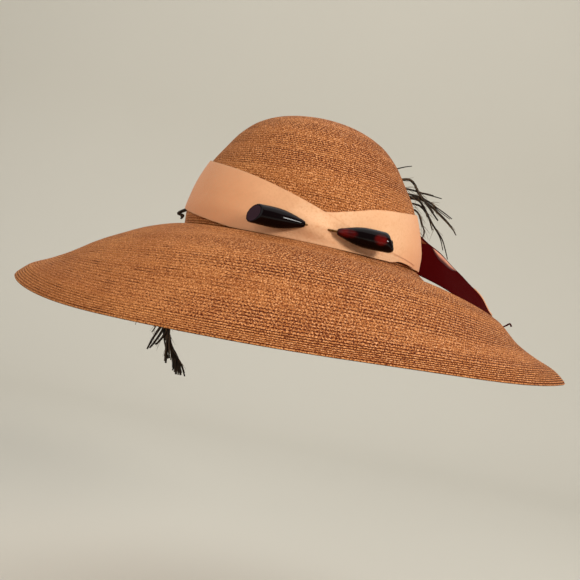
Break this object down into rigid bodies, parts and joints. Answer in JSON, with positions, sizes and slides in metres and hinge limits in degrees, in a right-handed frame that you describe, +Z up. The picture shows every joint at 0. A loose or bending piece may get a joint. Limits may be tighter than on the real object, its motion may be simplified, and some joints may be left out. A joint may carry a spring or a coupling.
{
  "type": "wide-brim straw hat",
  "caption": "Wide drooping straw sun hat with a rounded crown, a crossed ribbon band held by a double-ended pin, a loose ribbon end and a dark plume.",
  "frame": {"origin": "centre of the head opening, in the plane where the crown meets the brim", "axes": "+Z up along the crown, +Y towards the front of the hat, +X towards the wearer's right"},
  "size_m": [0.386, 0.4, 0.2178],
  "materials": {
    "straw": "sewn rows of fine plaited straw, dyed tan, slight sheen",
    "ribbon": "peach ribbed ribbon",
    "ribbon_dark": "two-faced ribbon, dark red on one face and peach on the other",
    "feather": "dark brown to black feather",
    "pin_head": "polished, dark red, slightly translucent",
    "pin_wire": "dull brass wire"
  },
  "bodies": {
    "root": {"crown": "straw", "brim": "straw", "hat_band": "ribbon", "ribbon_knot": "ribbon", "ribbon_tail": "ribbon_dark", "plume": "feather", "pin_head_left": "pin_head", "pin_head_right": "pin_head", "pin_shank": "pin_wire"}
  },
  "joints": []
}
